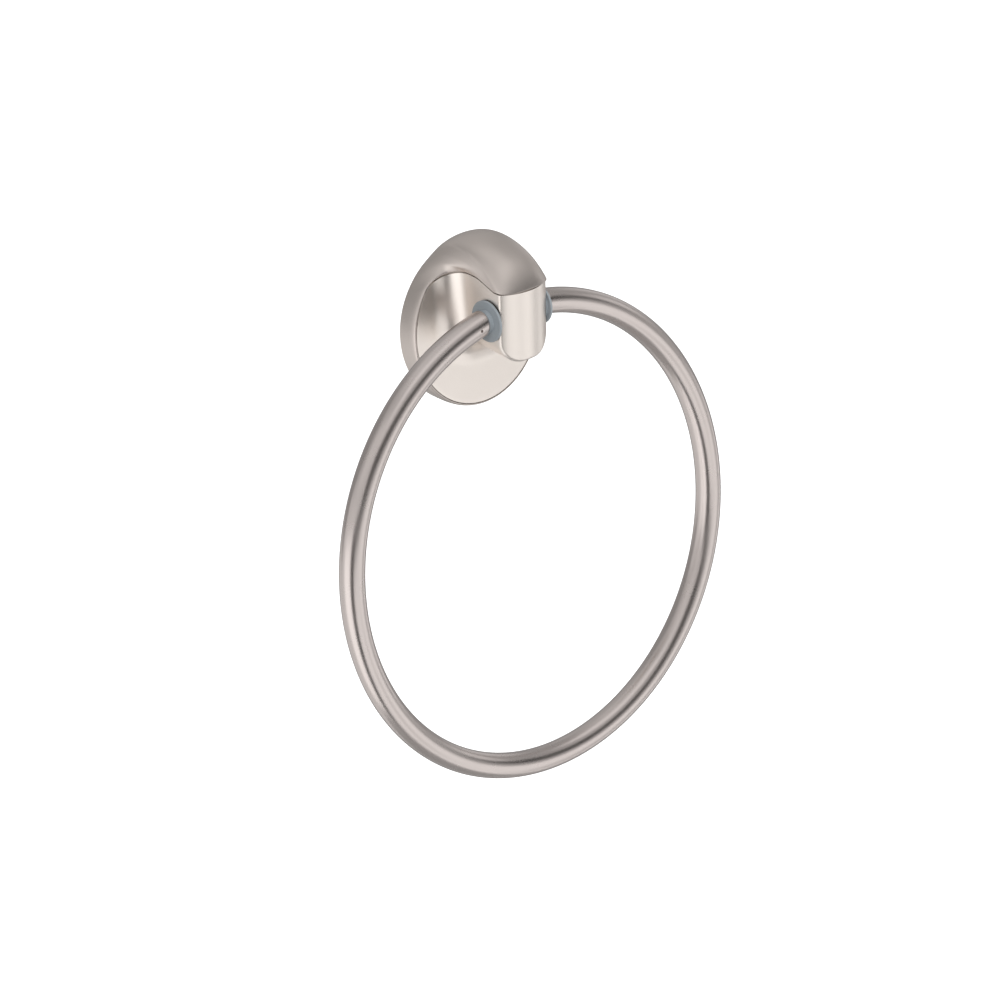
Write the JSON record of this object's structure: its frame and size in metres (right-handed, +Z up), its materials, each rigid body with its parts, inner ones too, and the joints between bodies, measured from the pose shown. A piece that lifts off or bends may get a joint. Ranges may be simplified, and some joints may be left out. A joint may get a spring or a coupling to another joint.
{
  "type": "towel ring",
  "caption": "Wall-mounted towel ring: an open tube ring that swings in bushes on a post under a hooded round base, clamped over a screwed-on mounting plate.",
  "frame": {"origin": "centre of the base's flat back, on the wall", "axes": "+X to the right, +Y into the wall, +Z up; the front looks along -Y"},
  "size_m": [0.1524, 0.0333, 0.1704],
  "materials": {
    "dark_satin": "satin nickel plate, darker and smooth",
    "satin_nickel": "semi-polished satin nickel plate",
    "grey_nylon": "matt blue-grey nylon",
    "ring_satin": "satin nickel plate on tube",
    "bright_steel": "turned steel",
    "plate_zinc": "zinc plated",
    "screw_steel": "plain steel"
  },
  "bodies": {
    "base": {"cover": "dark_satin", "post_body": "satin_nickel", "left_bush": "grey_nylon", "right_bush": "grey_nylon", "mounting_plate": "plate_zinc", "set_screw": "screw_steel", "cover_screws": "screw_steel"},
    "swinging_ring": {"ring": "ring_satin", "left_pin": "bright_steel", "right_pin": "bright_steel"}
  },
  "joints": [
    {"name": "ring_swing", "type": "hinge", "parent": "base", "child": "swinging_ring", "pos_m": [0, -0.0239, 0.0068], "axis": [1, 0, 0], "range_deg": [-187.5, 7.5]}
  ]
}
